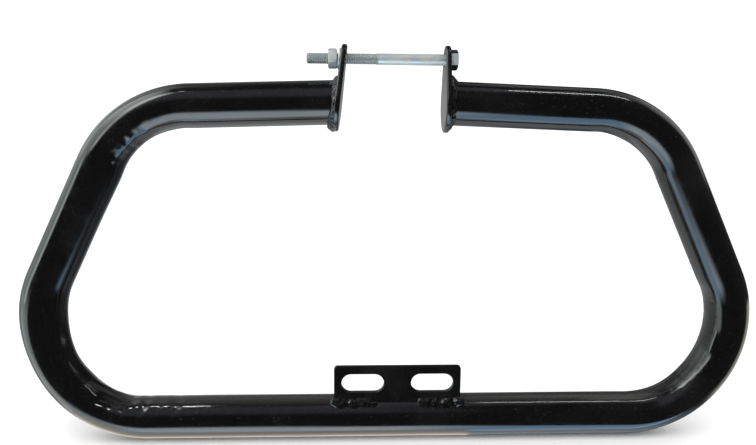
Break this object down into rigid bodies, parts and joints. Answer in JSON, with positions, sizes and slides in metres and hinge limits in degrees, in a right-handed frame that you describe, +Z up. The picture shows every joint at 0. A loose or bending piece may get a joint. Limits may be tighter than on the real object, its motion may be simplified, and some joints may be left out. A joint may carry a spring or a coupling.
{
  "type": "motorcycle crash bar",
  "caption": "Single-hoop engine guard for a motorcycle: bent black steel tube with welded clamp ears, a long through bolt with nut and washer, and a slotted lower mounting plate.",
  "frame": {"origin": "on the axis of the upper through bolt, midway between the inner faces of the two ears", "axes": "+X to the right along the bolt, as seen from the side with the slotted plate; +Y from that side through the hoop to its back; +Z up from the bottom run to the bolt"},
  "size_m": [0.5552, 0.0394, 0.2971],
  "materials": {
    "gloss_black_paint": "deep gloss black coating on steel",
    "painted_weld": "gloss black coating over rippled weld beads",
    "zinc_plate": "bright bluish zinc plating"
  },
  "bodies": {
    "root": {"hoop_tube": "gloss_black_paint", "left_ear": "gloss_black_paint", "right_ear": "gloss_black_paint", "left_ear_weld": "painted_weld", "right_ear_weld": "painted_weld", "slotted_plate": "gloss_black_paint", "left_plate_weld": "painted_weld", "right_plate_weld": "painted_weld", "through_bolt": "zinc_plate", "hex_nut": "zinc_plate", "flat_washer": "zinc_plate"}
  },
  "joints": []
}
